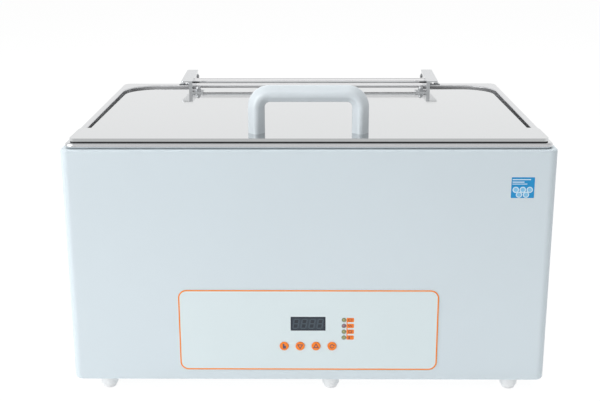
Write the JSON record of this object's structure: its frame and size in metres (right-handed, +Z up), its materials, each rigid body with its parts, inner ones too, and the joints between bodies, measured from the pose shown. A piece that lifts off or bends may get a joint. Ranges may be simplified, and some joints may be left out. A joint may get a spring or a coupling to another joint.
{
  "type": "thermoplastic splint heater",
  "caption": "Heated water bath for softening splint sheets: painted box on feet, drawn steel tank, hinged flat lid with a bow handle, front key panel.",
  "frame": {"origin": "on the table under the middle of the whole outline, drain valve and keys included", "axes": "+X to the user's right, +Y from the control panel to the back, +Z up"},
  "size_m": [0.584, 0.4688, 0.3803],
  "materials": {
    "housing_paint": "light grey satin powder coat",
    "steel": "drawn stainless steel, fine satin",
    "lid_steel": "smooth matt stainless steel",
    "fastener": "stainless, plain",
    "rod": "polished",
    "handle": "light blue-grey, smooth",
    "foot": "white, moulded",
    "seal": "black, smooth",
    "overlay": "printed film, light grey with an orange border",
    "key": "orange",
    "window": "dark tinted",
    "lamp_green": "green, unlit",
    "lamp_red": "dull red, unlit",
    "board": "green laminate",
    "black_plastic": "black, moulded",
    "rocker": "black",
    "pale_plastic": "moulded",
    "brass": "turned",
    "plated_brass": "nickel plated",
    "lever": "red, dipped",
    "aluminium": "extruded, plain",
    "iron": "varnished laminations",
    "wool": "pressed mineral fibre",
    "silicone": "red-brown silicone",
    "hose": "grey silicone"
  },
  "bodies": {
    "heater": {"housing": "housing_paint", "base_plate": "housing_paint", "plate_screws": "fastener", "feet": "foot", "foot_screws": "fastener", "foot_nuts": "fastener", "tank": "steel", "heating_mat": "silicone", "insulation_board": "wool", "insulation_wrap": "wool", "temperature_sensor": "aluminium", "overheat_cutout": "aluminium", "drain_seal": "seal", "drain_fitting": "steel", "drain_nut": "brass", "drain_hose": "hose", "drain_valve": "plated_brass", "valve_nut": "brass", "hinge_lug_left": "steel", "hinge_lug_right": "steel", "lug_rivets": "fastener", "hinge_pins": "fastener", "pin_clips": "fastener", "panel_overlay": "overlay", "display_window": "window", "display_module": "black_plastic", "control_board": "board", "board_standoffs": "fastener", "board_screws": "fastener", "status_lamps_green": "lamp_green", "status_lamp_red": "lamp_red", "power_standoffs": "fastener", "power_board": "board", "power_screws": "fastener", "transformer": "iron", "heat_sink": "aluminium", "heater_relay": "black_plastic", "terminal_block": "pale_plastic", "mains_inlet": "black_plastic", "inlet_pins": "brass", "inlet_screws": "fastener", "switch_bezel": "black_plastic"},
    "lid_assembly": {"lid": "lid_steel", "lid_seal": "seal", "lid_handle": "handle", "handle_screws": "fastener", "arm_left": "steel", "arm_right": "steel", "tie_rod": "rod", "arm_screws": "fastener", "cap_nuts": "fastener"},
    "rocker": {"switch_rocker": "rocker"},
    "drain_tap": {"drain_plug": "brass", "drain_lever": "lever"},
    "key_function_button": {"key_function": "key"},
    "key_down_button": {"key_down": "key"},
    "key_up_button": {"key_up": "key"},
    "key_program_button": {"key_program": "key"}
  },
  "joints": [
    {"name": "lid_hinge", "type": "hinge", "parent": "heater", "child": "lid_assembly", "pos_m": [0, 0.1784, 0.329], "axis": [-1, 0, 0], "range_deg": [0, 100]},
    {"name": "key_function_press", "type": "slide", "parent": "heater", "child": "key_function_button", "axis": [0, 1, 0], "range_m": [0, 0.0006], "stiffness_N_per_m": 1200, "springref_m": -0.0006},
    {"name": "key_down_press", "type": "slide", "parent": "heater", "child": "key_down_button", "axis": [0, 1, 0], "range_m": [0, 0.0006], "stiffness_N_per_m": 1200, "springref_m": -0.0006},
    {"name": "key_up_press", "type": "slide", "parent": "heater", "child": "key_up_button", "axis": [0, 1, 0], "range_m": [0, 0.0006], "stiffness_N_per_m": 1200, "springref_m": -0.0006},
    {"name": "key_program_press", "type": "slide", "parent": "heater", "child": "key_program_button", "axis": [0, 1, 0], "range_m": [0, 0.0006], "stiffness_N_per_m": 1200, "springref_m": -0.0006},
    {"name": "rocker_tilt", "type": "hinge", "parent": "heater", "child": "rocker", "pos_m": [0.15, 0.1874, 0.078], "axis": [-1, 0, 0], "range_deg": [0, 16]},
    {"name": "drain_tap_turn", "type": "hinge", "parent": "heater", "child": "drain_tap", "pos_m": [-0.22326, 0.2034, 0.08], "axis": [0, 0, 1], "range_deg": [0, 90]}
  ]
}
